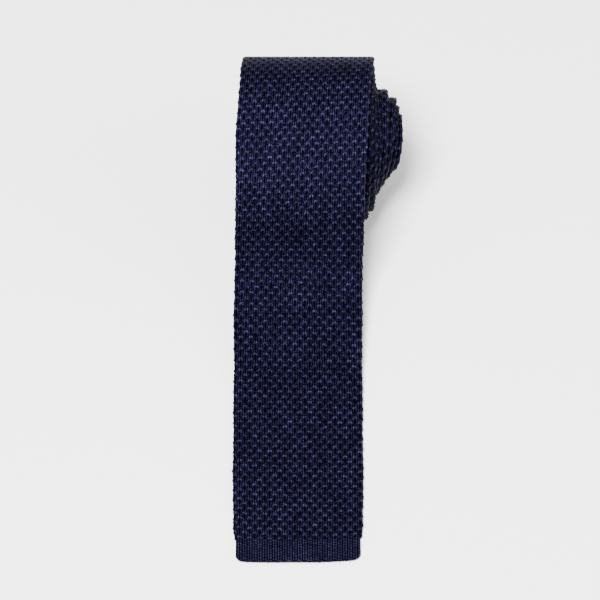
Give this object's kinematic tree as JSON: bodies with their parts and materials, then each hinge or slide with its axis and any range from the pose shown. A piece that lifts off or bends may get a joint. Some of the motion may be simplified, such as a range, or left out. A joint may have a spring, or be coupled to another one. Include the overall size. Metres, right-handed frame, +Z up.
{
  "type": "necktie",
  "caption": "Slim square-ended knitted necktie, rolled from its narrow end with the blade drawn forward flat; its roll loosens, its tip turns up and its turns telescope.",
  "frame": {"origin": "centre of the underside of the stretch of blade that lies flat on the table", "axes": "+X across the tie towards the side where the roll telescopes out, +Y along the blade from its end towards the roll, +Z up"},
  "size_m": [0.0809, 0.2736, 0.0781],
  "materials": {
    "knit": "open tuck-stitch knit of fine navy filament yarn, soft sheen",
    "rib": "close ribbed knit of the same navy yarn",
    "thread": "navy sewing thread",
    "label": "plain navy satin ribbon, blank"
  },
  "bodies": {
    "blade": {"blade_flat": "knit", "drape_link_1": "knit", "drape_link_2": "knit", "blade_label": "label", "keeper_loop": "knit", "keeper_tacks": "thread"},
    "blade_tip": {"blade_hem_seam": "thread", "blade_hem_band": "rib", "blade_end": "knit"},
    "drape_lower": {"drape_link_3": "knit", "drape_link_4": "knit"},
    "drape_upper": {"drape_link_5": "knit", "drape_link_6": "knit", "drape_link_7": "knit", "drape_link_8": "knit"},
    "crest": {"drape_link_9": "knit", "turn_1_link_1": "knit", "turn_1_link_2": "knit"},
    "roll_back": {"turn_1_link_3": "knit", "turn_1_link_4": "knit", "turn_1_link_5": "knit", "turn_1_link_6": "knit", "turn_1_link_7": "knit", "turn_1_link_8": "knit"},
    "roll": {"turn_1_link_9": "knit", "turn_1_link_10": "knit", "turn_1_link_11": "knit", "turn_1_link_12": "knit", "turn_1_link_13": "knit", "turn_1_link_14": "knit", "turn_1_link_15": "knit", "turn_2_link_1": "knit", "turn_2_link_2": "knit", "turn_2_link_3": "knit", "turn_2_link_4": "knit", "turn_2_link_5": "knit", "turn_2_link_6": "knit", "turn_2_link_7": "knit", "turn_2_link_8": "knit", "turn_2_link_9": "knit", "turn_2_link_10": "knit", "turn_2_link_11": "knit", "turn_2_link_12": "knit", "turn_2_link_13": "knit", "turn_2_link_14": "knit", "turn_2_link_15": "knit", "turn_3": "knit"},
    "turn_4": {"turn_4": "knit"},
    "turn_5": {"turn_5": "knit"},
    "turn_6": {"turn_6": "knit"},
    "turn_7": {"turn_7": "knit"},
    "turn_8": {"turn_8": "knit", "tail_hem_band": "rib", "tail_hem_seam": "thread", "care_label": "label"}
  },
  "joints": [
    {"name": "unroll", "type": "hinge", "parent": "drape_upper", "child": "crest", "pos_m": [0, 0.15736, 0.07528], "axis": [1, 0, 0], "range_deg": [0, 25.14]},
    {"name": "bend_sweep_lower", "type": "hinge", "parent": "blade", "child": "drape_lower", "pos_m": [0, 0.09642, 0.01215], "axis": [1, 0, 0], "range_deg": [-10.79, 0]},
    {"name": "bend_sweep_upper", "type": "hinge", "parent": "drape_lower", "child": "drape_upper", "pos_m": [0, 0.1131, 0.02816], "axis": [1, 0, 0], "range_deg": [0, 15]},
    {"name": "bend_behind_crest", "type": "hinge", "parent": "crest", "child": "roll_back", "pos_m": [0, 0.20524, 0.06497], "axis": [1, 0, 0], "range_deg": [0, 34.27]},
    {"name": "bend_under_roll", "type": "hinge", "parent": "roll_back", "child": "roll", "pos_m": [0, 0.16898, 0.00083], "axis": [1, 0, 0], "range_deg": [0, 24.29]},
    {"name": "turn_up_tip", "type": "hinge", "parent": "blade", "child": "blade_tip", "pos_m": [0, -0.0275, 0.003], "axis": [-1, 0, 0], "range_deg": [0, 110]},
    {"name": "push_in", "type": "slide", "parent": "roll", "child": "turn_4", "axis": [-1, 0, 0], "range_m": [-0.0015, 0.0025]},
    {"name": "push_in_turn_5", "type": "slide", "parent": "turn_4", "child": "turn_5", "axis": [-1, 0, 0], "range_m": [-0.0015, 0.0025]},
    {"name": "push_in_turn_6", "type": "slide", "parent": "turn_5", "child": "turn_6", "axis": [-1, 0, 0], "range_m": [-0.0015, 0.0025]},
    {"name": "push_in_turn_7", "type": "slide", "parent": "turn_6", "child": "turn_7", "axis": [-1, 0, 0], "range_m": [-0.0015, 0.0025]},
    {"name": "push_in_turn_8", "type": "slide", "parent": "turn_7", "child": "turn_8", "axis": [-1, 0, 0], "range_m": [-0.0015, 0.0025]}
  ],
  "couplings": [
    {"joint": "bend_sweep_lower", "follows": "unroll", "ratio": -0.429},
    {"joint": "bend_sweep_upper", "follows": "unroll", "ratio": 0.59666},
    {"joint": "bend_behind_crest", "follows": "unroll", "ratio": 1.3632},
    {"joint": "bend_under_roll", "follows": "unroll", "ratio": 0.96619},
    {"joint": "push_in_turn_5", "follows": "push_in", "ratio": 1},
    {"joint": "push_in_turn_6", "follows": "push_in", "ratio": 1},
    {"joint": "push_in_turn_7", "follows": "push_in", "ratio": 1},
    {"joint": "push_in_turn_8", "follows": "push_in", "ratio": 1}
  ]
}
